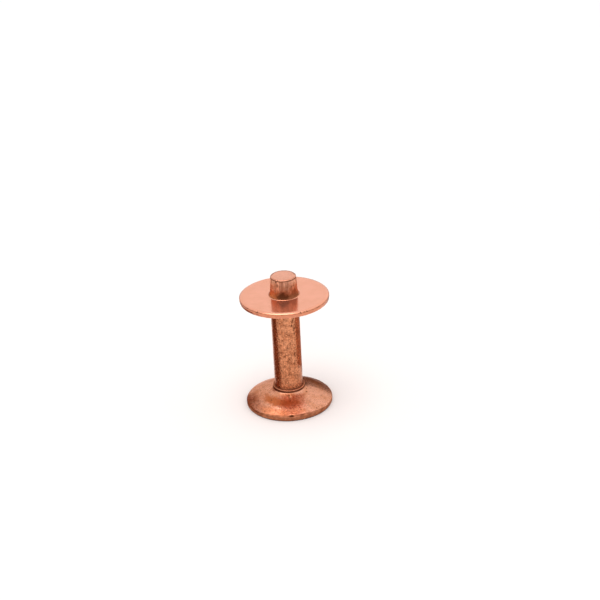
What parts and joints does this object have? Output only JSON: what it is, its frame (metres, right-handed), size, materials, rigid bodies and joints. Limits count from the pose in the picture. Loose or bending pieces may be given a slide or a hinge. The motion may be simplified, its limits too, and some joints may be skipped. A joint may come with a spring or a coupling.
{
  "type": "copper rivet with burr",
  "caption": "Solid copper belt rivet: thin round head with a coned underside, plain shank with a pointed end, and a punched washer gripped near that end.",
  "frame": {"origin": "centre of the head's flat face, on the surface that the rivet stands on", "axes": "+Z along the shank, from the head's face towards the cut end; X and Y across the round head"},
  "size_m": [0.012, 0.012, 0.0191],
  "materials": {
    "rivet_copper": "drawn and cold-headed solid copper, lightly tumbled, with fine pits along the shank",
    "burr_copper": "punched copper sheet, smooth and paler, with a rolled bright rim"
  },
  "bodies": {
    "root": {"rivet": "rivet_copper", "burr": "burr_copper"}
  },
  "joints": []
}
